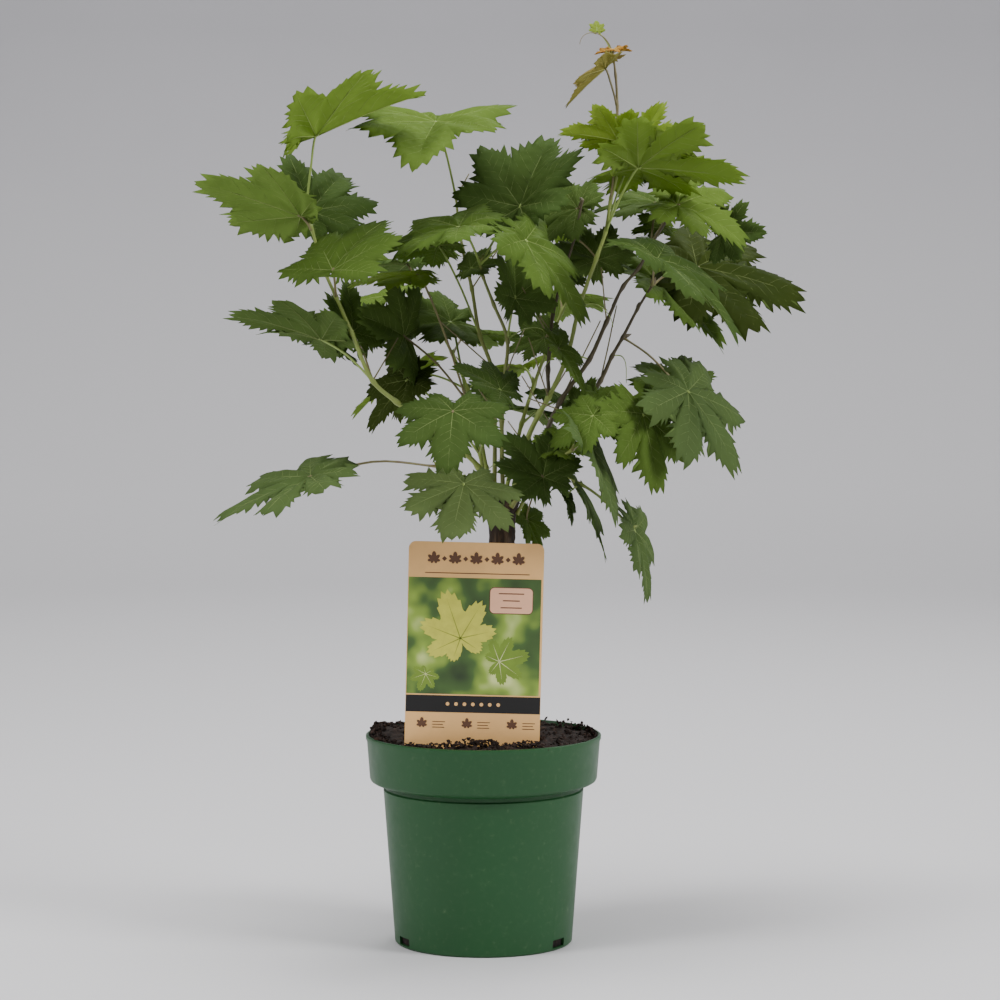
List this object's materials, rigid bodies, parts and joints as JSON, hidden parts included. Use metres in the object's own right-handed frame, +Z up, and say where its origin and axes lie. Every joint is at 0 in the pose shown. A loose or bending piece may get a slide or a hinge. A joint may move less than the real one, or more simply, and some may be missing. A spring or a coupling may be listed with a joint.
{
  "type": "potted grape vine",
  "caption": "Young leafy grape vine with several canes rising from a short woody stock, in a round plastic nursery pot of compost with a picture tag pushed in.",
  "frame": {"origin": "middle of the pot's flat underside", "axes": "+Z up along the pot's axis, -Y the side the tag's printed face looks to, +X to the right seen from there"},
  "size_m": [0.4292, 0.3311, 0.663],
  "materials": {
    "pot": "moulded green plastic, soft sheen",
    "soil": "dark crumbly peat compost",
    "tag": "printed card, matt",
    "bark": "rough flaking bark",
    "cane": "smooth young green to brown cane",
    "foliage": "matt lobed leaves on thin stalks"
  },
  "bodies": {
    "root": {"pot": "pot", "soil": "soil", "picture_tag": "tag", "trunk": "bark", "cane_left": "cane", "leaves_left": "foliage", "cane_inner_left": "cane", "leaves_inner_left": "foliage", "cane_mid_left": "cane", "leaves_mid_left": "foliage", "cane_centre": "cane", "leaves_centre": "foliage", "cane_tall": "cane", "leaves_tall": "foliage", "cane_second": "cane", "leaves_second": "foliage", "cane_right": "cane", "leaves_right": "foliage", "cane_far_right": "cane", "leaves_far_right": "foliage", "cane_low_right": "cane", "leaves_low_right": "foliage", "cane_mid_right": "cane", "leaves_mid_right": "foliage", "cane_low_left": "cane", "leaves_low_left": "foliage", "cane_back_left": "cane", "leaves_back_left": "foliage", "cane_back_right": "cane", "leaves_back_right": "foliage"}
  },
  "joints": []
}
